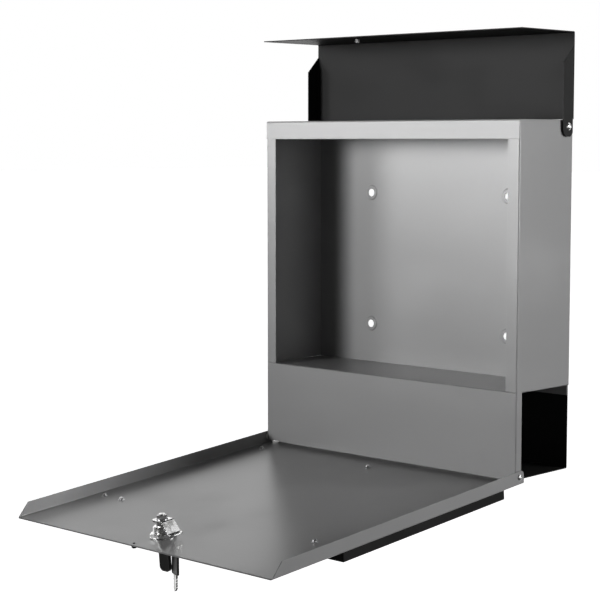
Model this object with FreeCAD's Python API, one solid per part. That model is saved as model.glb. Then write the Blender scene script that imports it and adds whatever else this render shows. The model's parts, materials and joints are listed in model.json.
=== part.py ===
import FreeCAD, Part
import math
import os
from FreeCAD import Vector

# Wall letterbox for C4 post with an open newspaper compartment below, all sizes in millimetres.
#
# The box frame used while drawing: X to the right, Y from the front face (0) towards the wall,
# Z up from the underside of the newspaper tray (0).  Every piece is moved at the end so that the
# origin is the centre of the four wall holes on the back face.
#
# The door and the lid are drawn shut and then swung open, because the part is stored open.

os.makedirs("parts", exist_ok=True)

# ---- body -----------------------------------------------------------------------------------
BODY_WIDTH = 354.0
BODY_DEPTH = 92.0
BODY_HEIGHT = 366.0
SHEET = 1.0               # body, door and lid sheet
BEND = 0.8                # inside radius of every bend
FLOOR_HEIGHT = 90.0       # top of the newspaper compartment's front panel
RAIL_HEIGHT = 20.0        # front rail folded down from the top panel
STILE_WIDTH = 14.0        # front face left and right of the door opening
RETURN_DEPTH = 9.0        # side returns of the lower front panel
OPENING_CORNER = 0.5      # corner radius at the bottom of the door opening
FLOOR_LIP = 12.0          # down-turned edges of the mail floor
TRAY_LIP = 12.0           # up-turned front edge of the newspaper tray
SLOT_SIDE_MARGIN = 12.0   # letter slot in the top panel
SLOT_WIDTH = 34.0
SLOT_SETBACK = 20.0       # front face to the slot's front edge
SLOT_CORNER = 5.0

# ---- wall holes -----------------------------------------------------------------------------
HOLE_SPACING_X = 194.0
HOLE_SPACING_Z = 151.0
HOLE_CENTRE_HEIGHT = 209.5
HOLE_RADIUS = 4.25
DIMPLE_RADIUS = 8.5       # at the back face, pressed inwards at 45 degrees
DIMPLE_DEPTH = 1.2

# ---- door -----------------------------------------------------------------------------------
SIDE_GAP = 1.5            # body side to the inner face of the door's and the lid's side flanges
DOOR_GAP = 3.5            # front face to the inner face of the door
DOOR_FLANGE = 14.0        # side flanges of the door, over all
DOOR_AXIS_Y = 3.5
DOOR_AXIS_Z = 3.5
DOOR_BELOW_AXIS = 7.0     # door sheet carried on below its axis when shut
DOOR_TOP_GAP = 0.2        # door's top edge below the top of the body
DOOR_OPEN_ANGLE = 94.9
STOP_GAP = 0.3            # stop lip to the tray's underside, door fully open
DOOR_FLANGE_HEEL = 4.0    # rounded lower rear corner of the side flanges
DOOR_RIVET_RADIUS = 1.6
DOOR_RIVET_HEAD = 3.3

# ---- raised cover on the door -----------------------------------------------------------------
COVER_SIDE_INSET = 2.0    # from the door's outer side
COVER_BOTTOM_INSET = 30.5
COVER_LID_GAP = 4.5       # top of the cover to the lid's lower edge, both shut
COVER_PROUD = 10.0
COVER_SHEET = 1.2
COVER_EDGE = 1.5          # rounded outer edges
STUD_RADIUS = 2.0
STUD_END_GAP = 0.6        # stud's end to the body's front face, door shut
STUD_SHOULDER = 1.0       # wider part of the stud inside the cover
STUD_INSET_CORNER_X = 14.3
STUD_INSET_UPPER_X = 40.8
STUD_INSET_UPPER_Z = 6.5
STUD_INSET_LOWER_X = 17.5
STUD_INSET_LOWER_Z = 6.5
PUSH_NUT_RADIUS = 3.6
PUSH_NUT_THICKNESS = 0.8

# ---- lid ------------------------------------------------------------------------------------
LID_AXIS_INSET = 10.5     # in front of the back face
LID_AXIS_DROP = 7.0       # below the top of the body
LID_GAP = 0.6             # top of the body to the underside of the lid
LID_OVERHANG = 16.0       # front face of the body to the outer face of the drop
LID_DROP = 91.6
LID_FLANGE = 18.6         # side flanges, over all
LID_CHAMFER_GAP = 4.7     # the door's chamfer to the lid's, along Y, both shut
LID_REAR_SETBACK = 7.5    # axis to the rear edge of the lid's plate
LID_RIVET_RADIUS = 2.0
LID_RIVET_HEAD = 4.0

# ---- hinge hardware ---------------------------------------------------------------------------
RIVET_DOME = 1.5
RIVET_TAIL = 2.0          # length of a rivet's closed end inside the wall
LID_TAIL_RADIUS = 3.0
TAIL_ROOM = 0.5           # round a rivet's closed end
PIN_CLEARANCE = 0.06      # radial, rivet shank in a moving flange
SEAT_CLEARANCE = 0.05     # radial, rivet shank in its own wall
WASHER_SIDE_PLAY = 0.15
WASHER_BAND = 2.4

# ---- cam lock ---------------------------------------------------------------------------------
LOCK_BELOW_RAIL = 16.0    # lock axis below the rail's lower edge, door shut
HOUSING_RADIUS = 9.5
HOUSING_LENGTH = 11.0     # beyond the door's inner face
BEZEL_RADIUS = 11.5
BEZEL_THICKNESS = 2.5
PLUG_RADIUS = 6.2
PLUG_BEYOND_HOUSING = 4.5
PLUG_CLEARANCE = 0.08
LOCK_WASHER_RADIUS = 13.0
LOCK_WASHER_THICKNESS = 1.0
LOCK_NUT_FLATS = 23.0
LOCK_NUT_THICKNESS = 3.5
CAM_THICKNESS = 1.5
CAM_WIDTH = 16.0
CAM_HEEL = 8.0            # cam behind the lock axis
CAM_WASHER_ROOM = 0.9     # cam washer to the start of the crank
CAM_NUT_ROOM = 2.2        # lock nut's corners to the end of the crank
CAM_OVERLAP = 5.0         # tip above the rail's lower edge, locked
CAM_BEHIND_RAIL = 0.5     # play between the cam's tip and the back of the rail
CAM_PLAY = 0.3            # cam on its square
SQUARE_SIDE = 7.0
CAM_STUD_RADIUS = 3.0
CAM_NUT_FLATS = 9.0
CAM_NUT_THICKNESS = 3.5
CAM_WASHER_RADIUS = 5.6
CAM_WASHER_THICKNESS = 0.8
CAM_STUD_END = 1.2
WAFER_COUNT = 5
WAFER_THICKNESS = 1.0
WAFER_PITCH = 2.6
WAFER_WIDTH = 4.6
WAFER_PLAY = 0.1

# ---- keys ---------------------------------------------------------------------------------------
BLADE_WIDTH = 7.4
BLADE_THICKNESS = 2.0
KEYWAY_PLAY = 0.2
BLADE_END_GAP = 5.0       # blade's tip to the end of the plug's round part
BLADE_TIP_ROUNDING = 1.0
BLADE_NOSE_ROUNDING = 0.5
NECK = 2.6                # bezel to the key's head
HEAD_WIDTH = 14.0
HEAD_LENGTH = 28.0
HEAD_THICKNESS = 3.2
HEAD_CORNER = 4.5
HEAD_NECK_CORNER = 1.5
HEAD_HOLE = 3.0           # radius of the hole in the spare key's head
HEAD_HOLE_INSET = 5.0
SPARE_HEAD_THICKNESS = 2.4
SPARE_TURN = 22.0         # spare key about its own length
RING_WIRE = 0.7
RING_NECK_SIDE_GAP = 0.6  # wire to the side of the key's neck
RING_NECK_GAP = 0.4       # wire to the bezel
RING_LOW_X = 15.5         # lowest point of the ring
RING_LOW_DEPTH = 6.0      # below the bezel
RING_REST_GAP = 0.6       # wire to the hole it carries

# ---- buffers ------------------------------------------------------------------------------------
BUFFER_RADIUS = 2.6
BUFFER_HEIGHT = 3.6
BUFFER_SHANK = 1.3
BUFFER_SHANK_END = 1.4
BUFFER_ROUNDING = 1.0
LID_BUFFER_X = -71.0
LID_BUFFER_INSET = 37.5   # above the lid's lower edge, lid shut
DOOR_BUFFER_X = -8.0
DOOR_BUFFER_INSET = 5.5

# ---- derived ------------------------------------------------------------------------------------
HALF = BODY_WIDTH / 2
RAIL_BOTTOM = BODY_HEIGHT - RAIL_HEIGHT
TOP_UNDERSIDE = BODY_HEIGHT - SHEET
BACK_INNER = BODY_DEPTH - SHEET
FLANGE_INNER = HALF + SIDE_GAP
FLANGE_OUTER = FLANGE_INNER + SHEET
DOOR_INNER_Y = -DOOR_GAP
DOOR_OUTER_Y = DOOR_INNER_Y - SHEET
DOOR_TOP = BODY_HEIGHT - DOOR_TOP_GAP
DOOR_BOTTOM = DOOR_AXIS_Z - DOOR_BELOW_AXIS
DOOR_TAIL_RADIUS = DOOR_AXIS_Y - SHEET - BEND
COVER_OUTER_Y = DOOR_OUTER_Y - COVER_PROUD
LID_AXIS_Y = BODY_DEPTH - LID_AXIS_INSET
LID_AXIS_Z = BODY_HEIGHT - LID_AXIS_DROP
LID_UNDERSIDE = BODY_HEIGHT + LID_GAP
LID_TOP = LID_UNDERSIDE + SHEET
LID_FRONT = -LID_OVERHANG
LID_BOTTOM = LID_TOP - LID_DROP
LID_REAR = LID_AXIS_Y - LID_REAR_SETBACK
LID_CHAMFER = DOOR_OUTER_Y + DOOR_TOP + LID_CHAMFER_GAP   # Y + Z along the lid's chamfer
EAR_RADIUS = LID_FLANGE / 2
COVER_HALF_WIDTH = FLANGE_OUTER - COVER_SIDE_INSET
COVER_BOTTOM = DOOR_BOTTOM + COVER_BOTTOM_INSET
COVER_TOP = LID_BOTTOM - COVER_LID_GAP
LOCK_HEIGHT = RAIL_BOTTOM - LOCK_BELOW_RAIL
BEZEL_Y = DOOR_OUTER_Y - BEZEL_THICKNESS
HEAD_TOP_Y = BEZEL_Y - NECK
HEAD_END_Y = HEAD_TOP_Y - HEAD_LENGTH
PLUG_END_Y = DOOR_INNER_Y + HOUSING_LENGTH + PLUG_BEYOND_HOUSING
BLADE_TIP_Y = PLUG_END_Y - BLADE_END_GAP
CAM_BASE_Y = PLUG_END_Y + CAM_PLAY
CAM_TIP_Y = SHEET + CAM_BEHIND_RAIL
CAM_TOP_Y = CAM_BASE_Y + CAM_THICKNESS
CAM_FLAT = CAM_WASHER_RADIUS + CAM_WASHER_ROOM            # lock axis to the start of the crank
CAM_CRANK = LOCK_NUT_FLATS / math.sqrt(3) + CAM_NUT_ROOM  # lock axis to the end of the crank
CAM_REACH = LOCK_BELOW_RAIL + CAM_OVERLAP                 # lock axis to the tip
ORIGIN = Vector(0, BODY_DEPTH, HOLE_CENTRE_HEIGHT)

X = Vector(1, 0, 0)
Y = Vector(0, 1, 0)
Z = Vector(0, 0, 1)
DOOR_AXIS = Vector(0, DOOR_AXIS_Y, DOOR_AXIS_Z)
LID_AXIS = Vector(0, LID_AXIS_Y, LID_AXIS_Z)
LOCK_AXIS = Vector(0, 0, LOCK_HEIGHT)


# ---- drawing helpers ----------------------------------------------------------------------------
def block(x, y, z):
    """A box between the given pairs of limits."""
    size = (x[1] - x[0], y[1] - y[0], z[1] - z[0])
    return Part.makeBox(*size, Vector(x[0], y[0], z[0]))


def rod(radius, start, end):
    """A cylinder from one point to another."""
    return Part.makeCylinder(radius, (end - start).Length, start, end - start)


def rounded(points, radii):
    """A closed wire through the points, its corners rounded to the radii given (0 is sharp)."""
    count = len(points)
    entries, exits, arcs = [], [], []
    for i, (corner, radius) in enumerate(zip(points, radii)):
        back = (points[i - 1] - corner).normalize()
        ahead = (points[(i + 1) % count] - corner).normalize()
        if radius <= 0:
            entries.append(corner)
            exits.append(corner)
            arcs.append(None)
            continue
        half_angle = back.getAngle(ahead) / 2
        setback = radius / math.tan(half_angle)
        middle = (back + ahead).normalize()
        centre = corner + middle * (radius / math.sin(half_angle))
        entries.append(corner + back * setback)
        exits.append(corner + ahead * setback)
        arcs.append(centre - middle * radius)
    edges = []
    for i in range(count):
        if arcs[i] is not None:
            edges.append(Part.Arc(entries[i], arcs[i], exits[i]).toShape())
        start, end = exits[i], entries[(i + 1) % count]
        if (end - start).Length > 1e-6:
            edges.append(Part.LineSegment(start, end).toShape())
    return Part.Wire(edges)


def plate(points, radii, sweep):
    """A rounded outline swept along a vector into a solid."""
    return Part.Face(rounded(points, radii)).extrude(sweep)


def folded(path, inward, sweep, thickness=SHEET):
    """Folded sheet: path is its outer face, inward +1 puts the thickness left of the path.

    Path points lie in a plane across the sweep; every corner in between becomes a bend.
    """
    normal = sweep * (1 / sweep.Length)
    sides = [(b - a).normalize() for a, b in zip(path, path[1:])]
    shifts = [normal.cross(side) * (inward * thickness) for side in sides]
    inner = [path[0] + shifts[0]]
    bends = []
    for i in range(1, len(path) - 1):
        before, after = sides[i - 1], sides[i]
        turn = before.getAngle(after)
        middle = (shifts[i - 1] + shifts[i]).normalize()
        inner.append(path[i] + middle * (thickness / math.cos(turn / 2)))
        concave = (after - before).dot(middle) > 0
        bends.append((BEND + thickness, BEND) if concave else (BEND, BEND + thickness))
    inner.append(path[-1] + shifts[-1])
    radii = [0] + [pair[0] for pair in bends] + [0, 0] + [pair[1] for pair in reversed(bends)] + [0]
    return plate(path + inner[::-1], radii, sweep)


def mirrored(shape):
    """The shape with its mirror image left of the middle plane."""
    return Part.makeCompound([shape, shape.mirror(Vector(0, 0, 0), X)])


def both(shape):
    """Cutter for a feature on the right and its mirror image on the left."""
    return shape.fuse(shape.mirror(Vector(0, 0, 0), X))


def hexagon(flats, start, thickness):
    """A hexagonal nut blank along +Y."""
    corner = flats / math.sqrt(3)
    points = [
        start + Vector(corner * math.cos(a), 0, corner * math.sin(a))
        for a in (math.radians(60 * i) for i in range(6))
    ]
    return Part.Face(Part.makePolygon(points + points[:1])).extrude(Y * thickness)


def dome(radius, height, seat, outward):
    """A shallow round rivet head whose flat face is at seat."""
    sphere_radius = (radius ** 2 + height ** 2) / (2 * height)
    ball = Part.makeSphere(sphere_radius, seat - outward * (sphere_radius - height))
    return ball.common(rod(radius, seat, seat + outward * (height + 1)))


def swung_open(shape):
    """A piece drawn with the door shut, moved with the door to its open stop."""
    moved = shape.copy()
    moved.rotate(DOOR_AXIS, X, DOOR_OPEN_ANGLE)
    return moved


def lifted(shape):
    """A piece drawn with the lid shut, moved with the lid to upright."""
    moved = shape.copy()
    moved.rotate(LID_AXIS, X, -90)
    return moved


def export(node, shape):
    """Write one node in the part's own frame."""
    placed = shape.copy()
    placed.translate(-ORIGIN)
    placed.exportStep(f"parts/{node}.step")
    print(f"{node:24s} {len(placed.Solids):2d} solid(s) {placed.Volume / 1000:9.2f} cm3")


# ---- body sheets --------------------------------------------------------------------------------
def door_opening():
    """Cutter for the door opening, rounded at its two lower corners."""
    left, right = -HALF + STILE_WIDTH, HALF - STILE_WIDTH
    corners = [(left, FLOOR_HEIGHT), (right, FLOOR_HEIGHT), (right, BODY_HEIGHT), (left, BODY_HEIGHT)]
    points = [Vector(x, -SHEET, z) for x, z in corners]
    return plate(points, [OPENING_CORNER, OPENING_CORNER, 0, 0], Y * (3 * SHEET))


def front_frame():
    """Stiles, lower front panel, side walls and side returns, folded from one sheet."""
    path = [Vector(-HALF, BACK_INNER, 0), Vector(-HALF, 0, 0), Vector(HALF, 0, 0)]
    path.append(Vector(HALF, BACK_INNER, 0))
    frame = folded(path, 1, Z * TOP_UNDERSIDE)
    frame = frame.cut(door_opening())
    above_stiles = block((-HALF - 1, HALF + 1), (-1, SHEET), (RAIL_BOTTOM, BODY_HEIGHT))
    below_sides = block((-HALF - 1, HALF + 1), (RETURN_DEPTH, BODY_DEPTH), (-1, FLOOR_HEIGHT))
    frame = frame.cut(above_stiles).cut(below_sides)
    door_pin = pin_bore(DOOR_AXIS, DOOR_RIVET_RADIUS + SEAT_CLEARANCE)
    lid_pin = pin_bore(LID_AXIS, LID_RIVET_RADIUS + SEAT_CLEARANCE)
    return frame.cut(door_pin).cut(lid_pin).cut(top_panel())


def pin_bore(axis, radius):
    """Cutter for one hinge line through both sides."""
    return rod(radius, axis - X * (HALF + 10), axis + X * (HALF + 10))


def wall_hole_centres():
    """Centres of the four wall holes on the back face."""
    return [
        Vector(x * HOLE_SPACING_X / 2, BODY_DEPTH, HOLE_CENTRE_HEIGHT + z * HOLE_SPACING_Z / 2)
        for x in (-1, 1)
        for z in (-1, 1)
    ]


def back_panel():
    """Back wall of the mail compartment with four dimpled wall holes."""
    panel = block((-HALF, HALF), (BACK_INNER, BODY_DEPTH), (FLOOR_HEIGHT - SHEET, TOP_UNDERSIDE))
    for centre in wall_hole_centres():
        front = centre - Y * (SHEET + DIMPLE_DEPTH)
        cone_outer = Part.makeCone(
            DIMPLE_RADIUS - DIMPLE_DEPTH, DIMPLE_RADIUS, DIMPLE_DEPTH, front, Y
        )
        hollow = Part.makeCone(
            DIMPLE_RADIUS - DIMPLE_DEPTH, DIMPLE_RADIUS, DIMPLE_DEPTH, front + Y * SHEET, Y
        )
        panel = panel.fuse(cone_outer).cut(hollow)
        panel = panel.cut(rod(HOLE_RADIUS, centre - Y * 5, centre + Y * 5))
    return panel.removeSplitter()


def top_panel():
    """Top of the box with the letter slot, its front folded down into the rail."""
    path = [Vector(-HALF, BODY_DEPTH, BODY_HEIGHT), Vector(-HALF, 0, BODY_HEIGHT)]
    path.append(Vector(-HALF, 0, RAIL_BOTTOM))
    panel = folded(path, 1, X * BODY_WIDTH)
    front, rear = SLOT_SETBACK, SLOT_SETBACK + SLOT_WIDTH
    half = HALF - SLOT_SIDE_MARGIN
    corners = [(-half, front), (half, front), (half, rear), (-half, rear)]
    points = [Vector(x, y, BODY_HEIGHT - 2 * SHEET) for x, y in corners]
    return panel.cut(plate(points, [SLOT_CORNER] * 4, Z * (3 * SHEET)))


def mail_floor():
    """Floor of the mail compartment with down-turned front and rear edges."""
    inner = HALF - SHEET
    low = FLOOR_HEIGHT - FLOOR_LIP
    path = [Vector(-inner, SHEET, low), Vector(-inner, SHEET, FLOOR_HEIGHT)]
    path += [Vector(-inner, BACK_INNER, FLOOR_HEIGHT), Vector(-inner, BACK_INNER, low)]
    return folded(path, -1, X * (2 * inner)).cut(front_frame())


def newspaper_tray():
    """Black tray below the mail floor: back wall, bottom and a front edge behind the panel."""
    inner = HALF - SHEET
    path = [Vector(-inner, BODY_DEPTH, FLOOR_HEIGHT - SHEET), Vector(-inner, BODY_DEPTH, 0)]
    path += [Vector(-inner, SHEET, 0), Vector(-inner, SHEET, TRAY_LIP)]
    tray = folded(path, -1, X * (2 * inner)).cut(front_frame())
    notch = inner - RIVET_TAIL - TAIL_ROOM
    corner = block((notch, HALF), (0, RETURN_DEPTH), (-1, TRAY_LIP + 1))
    return tray.cut(both(corner))


# ---- door ---------------------------------------------------------------------------------------
def stud_centres():
    """Where the cover's studs pass through the door."""
    corner, upper = COVER_HALF_WIDTH - STUD_INSET_CORNER_X, COVER_HALF_WIDTH - STUD_INSET_UPPER_X
    lower = COVER_HALF_WIDTH - STUD_INSET_LOWER_X
    height = COVER_TOP - STUD_INSET_UPPER_Z
    centres = [Vector(x, 0, height) for x in (-corner, -upper, upper, corner)]
    centres += [Vector(side * lower, 0, COVER_BOTTOM + STUD_INSET_LOWER_Z) for side in (-1, 0, 1)]
    return centres


def through_door(radius, centre):
    """Cutter for a round hole through the door's face."""
    at = Vector(centre.x, 0, centre.z)
    return rod(radius, at + Y * (DOOR_OUTER_Y - 1), at + Y * (DOOR_INNER_Y + 1))


def door_flange_outline():
    """What the door's side flanges keep, seen from the side: chamfered top, rounded heel."""
    rear = DOOR_OUTER_Y + DOOR_FLANGE
    low, high = DOOR_BOTTOM, DOOR_TOP
    corners = [(DOOR_OUTER_Y, low), (rear, low), (rear, high - DOOR_FLANGE), (DOOR_OUTER_Y, high)]
    points = [Vector(-FLANGE_OUTER - 1, y, z) for y, z in corners]
    return plate(points, [0, DOOR_FLANGE_HEEL, 0, 0], X * (2 * FLANGE_OUTER + 2))


def stop_lip_tip():
    """How far back the stop lip reaches, so that it meets the tray's underside when open."""
    angle = math.radians(DOOR_OPEN_ANGLE)
    drop = DOOR_AXIS_Z + STOP_GAP - DOOR_BELOW_AXIS * math.cos(angle)
    return DOOR_AXIS_Y - drop / math.sin(angle)


def door_panel():
    """Door sheet with its side flanges and the short lip that stops it at its open angle."""
    rear = DOOR_OUTER_Y + DOOR_FLANGE
    path = [Vector(-FLANGE_OUTER, rear, DOOR_BOTTOM), Vector(-FLANGE_OUTER, DOOR_OUTER_Y, DOOR_BOTTOM)]
    path += [Vector(FLANGE_OUTER, DOOR_OUTER_Y, DOOR_BOTTOM), Vector(FLANGE_OUTER, rear, DOOR_BOTTOM)]
    panel = folded(path, 1, Z * (DOOR_TOP - DOOR_BOTTOM))
    panel = panel.common(door_flange_outline())
    lip = block(
        (-HALF + RETURN_DEPTH, HALF - RETURN_DEPTH),
        (DOOR_INNER_Y, stop_lip_tip()),
        (DOOR_BOTTOM, DOOR_BOTTOM + SHEET),
    )
    panel = panel.fuse(lip).removeSplitter()
    for centre in stud_centres():
        panel = panel.cut(through_door(STUD_RADIUS + SEAT_CLEARANCE, centre))
    panel = panel.cut(through_door(HOUSING_RADIUS + SEAT_CLEARANCE, LOCK_AXIS))
    panel = panel.cut(through_door(BUFFER_SHANK, door_buffer_seat()))
    return panel.cut(pin_bore(DOOR_AXIS, DOOR_RIVET_RADIUS + PIN_CLEARANCE))


def door_cover():
    """Raised black pan on the outside of the door."""
    outer = block(
        (-COVER_HALF_WIDTH, COVER_HALF_WIDTH), (COVER_OUTER_Y, DOOR_OUTER_Y), (COVER_BOTTOM, COVER_TOP)
    )
    edges = [e for e in outer.Edges if e.BoundBox.YMin < DOOR_OUTER_Y - COVER_EDGE]
    outer = outer.makeFillet(COVER_EDGE, edges)
    inside = block(
        (-COVER_HALF_WIDTH + COVER_SHEET, COVER_HALF_WIDTH - COVER_SHEET),
        (COVER_OUTER_Y + COVER_SHEET, DOOR_OUTER_Y + 1),
        (COVER_BOTTOM + COVER_SHEET, COVER_TOP - COVER_SHEET),
    )
    return outer.cut(inside)


def cover_studs():
    """Studs welded inside the cover, standing through the door."""
    studs = []
    for centre in stud_centres():
        start = centre + Y * (COVER_OUTER_Y + COVER_SHEET)
        shoulder = centre + Y * DOOR_OUTER_Y
        end = centre - Y * STUD_END_GAP
        wide = rod(STUD_RADIUS + STUD_SHOULDER, start, shoulder)
        studs.append(wide.fuse(rod(STUD_RADIUS, start, end)))
    return Part.makeCompound([stud.removeSplitter() for stud in studs])


def cover_push_nuts():
    """Push-on washers that hold the studs at the door's inner face."""
    nuts = []
    for centre in stud_centres():
        seat = centre + Y * DOOR_INNER_Y
        disc = rod(PUSH_NUT_RADIUS, seat, seat + Y * PUSH_NUT_THICKNESS)
        nuts.append(disc.cut(rod(STUD_RADIUS + SEAT_CLEARANCE, seat - Y, seat + Y * 3)))
    return Part.makeCompound(nuts)


# ---- lid ----------------------------------------------------------------------------------------
def lid_flange_outline():
    """Side view of the lid's flange, lid shut: round ear at the pin, chamfer at the front."""
    low = LID_TOP - LID_FLANGE
    ear_z = LID_TOP - EAR_RADIUS
    ear_y = LID_AXIS_Y + (LID_AXIS_Z - low - EAR_RADIUS) + 1
    start_y = LID_CHAMFER - LID_TOP
    x = -FLANGE_OUTER - 1
    arc = Part.Arc(
        Vector(x, ear_y, LID_TOP), Vector(x, ear_y + EAR_RADIUS, ear_z), Vector(x, ear_y, low)
    )
    corners = [Vector(x, ear_y, low), Vector(x, LID_CHAMFER - low, low)]
    corners += [Vector(x, start_y, LID_TOP), Vector(x, ear_y, LID_TOP)]
    edges = [arc.toShape()] + [
        Part.LineSegment(a, b).toShape() for a, b in zip(corners, corners[1:])
    ]
    return Part.Face(Part.Wire(edges)).extrude(X * (2 * FLANGE_OUTER + 2))


def lid_cover():
    """Lid: flat plate with side flanges, hung on ears, its front folded down into the drop."""
    low = LID_TOP - LID_FLANGE
    path = [Vector(-FLANGE_OUTER, LID_FRONT, low), Vector(-FLANGE_OUTER, LID_FRONT, LID_TOP)]
    path += [Vector(FLANGE_OUTER, LID_FRONT, LID_TOP), Vector(FLANGE_OUTER, LID_FRONT, low)]
    channel = folded(path, 1, Y * (BODY_DEPTH - LID_FRONT))
    channel = channel.common(lid_flange_outline())
    channel = channel.cut(block((-FLANGE_INNER, FLANGE_INNER), (-100, BODY_DEPTH), (LID_UNDERSIDE, LID_TOP)))
    wide = FLANGE_INNER + SHEET / 4
    channel = channel.cut(block((-wide, wide), (LID_REAR, BODY_DEPTH), (LID_UNDERSIDE - BEND, LID_TOP)))
    path = [Vector(-FLANGE_OUTER, LID_REAR, LID_TOP), Vector(-FLANGE_OUTER, LID_FRONT, LID_TOP)]
    path.append(Vector(-FLANGE_OUTER, LID_FRONT, LID_BOTTOM))
    sheet = folded(path, 1, X * (2 * FLANGE_OUTER))
    lid = sheet.fuse(channel).removeSplitter()
    lid = lid.cut(pin_bore(LID_AXIS, LID_RIVET_RADIUS + PIN_CLEARANCE))
    return lid.cut(lid_buffer_shank())


# ---- hinge hardware -----------------------------------------------------------------------------
def hinge_rivets(axis, radius, head, tail_radius):
    """A domed rivet each side: head outside the flange, tail inside the wall."""
    seat = FLANGE_OUTER + WASHER_SIDE_PLAY
    shank = rod(radius, axis + X * (HALF - SHEET), axis + X * seat)
    tail = rod(tail_radius, axis + X * (HALF - SHEET - RIVET_TAIL), axis + X * (HALF - SHEET))
    rivet = shank.fuse(tail).fuse(dome(head, RIVET_DOME, axis + X * seat, X))
    return mirrored(rivet.removeSplitter())


def hinge_washers(axis, radius):
    """A plastic spacer each side between the wall and the moving flange."""
    start, end = axis + X * HALF, axis + X * (FLANGE_INNER - WASHER_SIDE_PLAY)
    washer = rod(radius + WASHER_BAND, start, end).cut(rod(radius + SEAT_CLEARANCE, start, end))
    return mirrored(washer)


# ---- lock ---------------------------------------------------------------------------------------
def along_lock(y):
    """The point on the lock axis at a given depth."""
    return LOCK_AXIS + Y * y


def lock_housing():
    """Threaded lock body with its bezel on the outside of the door."""
    bezel = rod(BEZEL_RADIUS, along_lock(BEZEL_Y), along_lock(DOOR_OUTER_Y))
    front = [e for e in bezel.Edges if abs(e.BoundBox.YMin - BEZEL_Y) < 0.01 and e.Closed]
    front = [e for e in front if abs(e.BoundBox.YMax - BEZEL_Y) < 0.01]
    bezel = bezel.makeFillet(BEZEL_THICKNESS / 2, front)
    body = rod(HOUSING_RADIUS, along_lock(BEZEL_Y + 1), along_lock(DOOR_INNER_Y + HOUSING_LENGTH))
    bore = rod(PLUG_RADIUS + PLUG_CLEARANCE, along_lock(BEZEL_Y - 1), along_lock(PLUG_END_Y))
    return bezel.fuse(body).removeSplitter().cut(bore)


def lock_washer():
    """Flat washer under the lock's nut."""
    start = along_lock(DOOR_INNER_Y)
    end = along_lock(DOOR_INNER_Y + LOCK_WASHER_THICKNESS)
    return rod(LOCK_WASHER_RADIUS, start, end).cut(rod(HOUSING_RADIUS + SEAT_CLEARANCE, start, end))


def lock_nut():
    """Hexagonal nut that clamps the lock to the door."""
    start = along_lock(DOOR_INNER_Y + LOCK_WASHER_THICKNESS)
    nut = hexagon(LOCK_NUT_FLATS, start, LOCK_NUT_THICKNESS)
    return nut.cut(rod(HOUSING_RADIUS + SEAT_CLEARANCE, start - Y, start + Y * 10))


def wafer_depths():
    """Front face of each wafer along the lock axis."""
    first = DOOR_INNER_Y
    return [first + i * WAFER_PITCH for i in range(WAFER_COUNT)]


def keyway(y_start, y_end):
    """Cutter for the flat way that the key's blade runs in."""
    half_width = BLADE_WIDTH / 2 + KEYWAY_PLAY
    half_thickness = BLADE_THICKNESS / 2 + KEYWAY_PLAY
    return block(
        (-half_width, half_width),
        (y_start, y_end),
        (LOCK_HEIGHT - half_thickness, LOCK_HEIGHT + half_thickness),
    )


def lock_plug():
    """Plug that turns with the key, with wafer slots, a square for the cam and a threaded end."""
    plug = rod(PLUG_RADIUS, along_lock(BEZEL_Y), along_lock(PLUG_END_Y))
    half = SQUARE_SIDE / 2
    square = block(
        (-half, half), (PLUG_END_Y, CAM_TOP_Y - CAM_PLAY), (LOCK_HEIGHT - half, LOCK_HEIGHT + half)
    )
    stud_end = CAM_TOP_Y + CAM_WASHER_THICKNESS + CAM_NUT_THICKNESS + CAM_STUD_END
    stud = rod(CAM_STUD_RADIUS, along_lock(PLUG_END_Y), along_lock(stud_end))
    plug = plug.fuse(square).fuse(stud).removeSplitter()
    plug = plug.cut(keyway(BEZEL_Y - 1, BLADE_TIP_Y + KEYWAY_PLAY))
    half_wafer = WAFER_WIDTH / 2 + WAFER_PLAY
    for depth in wafer_depths():
        slot = block(
            (-PLUG_RADIUS, PLUG_RADIUS),
            (depth - WAFER_PLAY, depth + WAFER_THICKNESS + WAFER_PLAY),
            (LOCK_HEIGHT - half_wafer, LOCK_HEIGHT + half_wafer),
        )
        plug = plug.cut(slot)
    return plug


def lock_wafers():
    """Sliding wafers inside the plug, each with a window for the key."""
    reach = math.sqrt(PLUG_RADIUS ** 2 - (WAFER_WIDTH / 2) ** 2) - WAFER_PLAY
    wafers = []
    for depth in wafer_depths():
        wafer = block(
            (-reach, reach),
            (depth, depth + WAFER_THICKNESS),
            (LOCK_HEIGHT - WAFER_WIDTH / 2, LOCK_HEIGHT + WAFER_WIDTH / 2),
        )
        wafers.append(wafer.cut(keyway(depth - 1, depth + 2)))
    return Part.makeCompound(wafers)


def lock_cam():
    """Cranked cam: flat on the square, stepped down so that its tip passes behind the rail."""
    z = LOCK_HEIGHT - CAM_WIDTH / 2
    path = [(-CAM_HEEL, CAM_BASE_Y), (CAM_FLAT, CAM_BASE_Y), (CAM_CRANK, CAM_TIP_Y), (CAM_REACH, CAM_TIP_Y)]
    cam = folded([Vector(x, y, z) for x, y in path], 1, Z * CAM_WIDTH, CAM_THICKNESS)
    corner = CAM_WIDTH / 4
    ends = [(-CAM_HEEL, -CAM_WIDTH / 2), (CAM_REACH, -CAM_WIDTH / 2)]
    ends += [(CAM_REACH, CAM_WIDTH / 2), (-CAM_HEEL, CAM_WIDTH / 2)]
    outline = [Vector(x, 0, LOCK_HEIGHT + dz) for x, dz in ends]
    cam = cam.common(plate(outline, [corner] * 4, Y * (CAM_TOP_Y + 1)))
    half = SQUARE_SIDE / 2 + SEAT_CLEARANCE
    square = block((-half, half), (CAM_BASE_Y - 1, CAM_TOP_Y + 1), (LOCK_HEIGHT - half, LOCK_HEIGHT + half))
    return cam.cut(square)


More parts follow.
